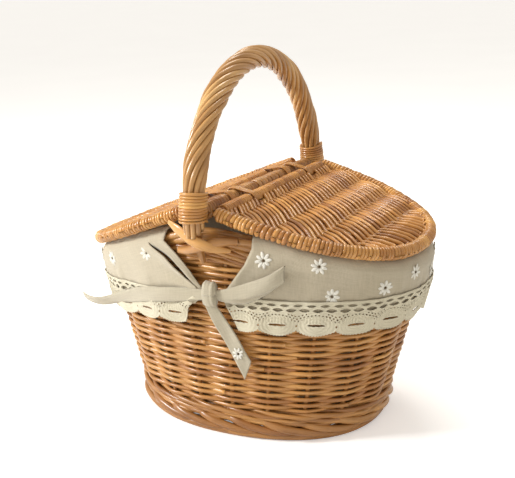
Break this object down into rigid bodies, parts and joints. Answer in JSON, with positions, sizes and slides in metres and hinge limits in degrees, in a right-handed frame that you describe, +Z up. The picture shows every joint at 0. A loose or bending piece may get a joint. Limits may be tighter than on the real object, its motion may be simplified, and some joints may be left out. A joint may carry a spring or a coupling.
{
  "type": "wicker picnic basket",
  "caption": "Oval wicker picnic basket with a fixed bow handle, two half lids that hinge on a middle bar, and a tied fabric liner.",
  "frame": {"origin": "middle of the foot, on the surface the basket stands on", "axes": "+Z up, X along the basket from the left lid to the right lid, Y across it; the bow handle stands in the plane x = 0"},
  "size_m": [0.3257, 0.259, 0.3326],
  "materials": {
    "willow_weave": "satin",
    "willow_border": "satin",
    "willow_stakes": "satin",
    "willow_skein": "satin",
    "linen": "matte",
    "lace": "matte"
  },
  "bodies": {
    "basket": {"back_binding": "willow_skein", "back_bow_knot": "linen", "back_bow_loop": "linen", "back_bow_tail_long": "linen", "back_bow_tail_low": "linen", "back_lashing_over": "willow_skein", "back_lashing_under": "willow_skein", "base_panel": "willow_weave", "foot_border": "willow_border", "front_binding": "willow_skein", "front_bow_knot": "linen", "front_bow_loop": "linen", "front_bow_tail_long": "linen", "front_bow_tail_low": "linen", "front_lashing_over": "willow_skein", "front_lashing_under": "willow_skein", "handle_core": "willow_border", "handle_twist": "willow_border", "hinge_bar": "willow_skein", "left_flap": "linen", "left_hinge_loop_1": "willow_skein", "left_hinge_loop_2": "willow_skein", "left_lace": "lace", "liner_bag": "linen", "lower_wale": "willow_border", "right_flap": "linen", "right_hinge_loop_1": "willow_skein", "right_hinge_loop_2": "willow_skein", "right_lace": "lace", "rim_border": "willow_border", "side_weave": "willow_weave", "stake_01": "willow_stakes", "stake_02": "willow_stakes", "stake_03": "willow_stakes", "stake_04": "willow_stakes", "stake_05": "willow_stakes", "stake_06": "willow_stakes", "stake_07": "willow_stakes", "stake_08": "willow_stakes", "stake_09": "willow_stakes", "stake_10": "willow_stakes", "stake_11": "willow_stakes", "stake_12": "willow_stakes", "stake_13": "willow_stakes", "stake_14": "willow_stakes", "stake_15": "willow_stakes", "stake_16": "willow_stakes", "stake_17": "willow_stakes", "stake_18": "willow_stakes", "stake_19": "willow_stakes", "stake_20": "willow_stakes", "upper_wale": "willow_border"},
    "right_lid": {"right_hinge_rod": "willow_border", "right_lid_border": "willow_skein", "right_lid_panel": "willow_weave"},
    "left_lid": {"left_hinge_rod": "willow_border", "left_lid_border": "willow_skein", "left_lid_panel": "willow_weave"}
  },
  "joints": [
    {"name": "right_lid_hinge", "type": "hinge", "parent": "basket", "child": "right_lid", "pos_m": [0.0165, 0, 0.2067], "axis": [0, -1, 0], "range_deg": [0, 102]},
    {"name": "left_lid_hinge", "type": "hinge", "parent": "basket", "child": "left_lid", "pos_m": [-0.0165, 0, 0.2067], "axis": [0, 1, 0], "range_deg": [0, 108]}
  ]
}
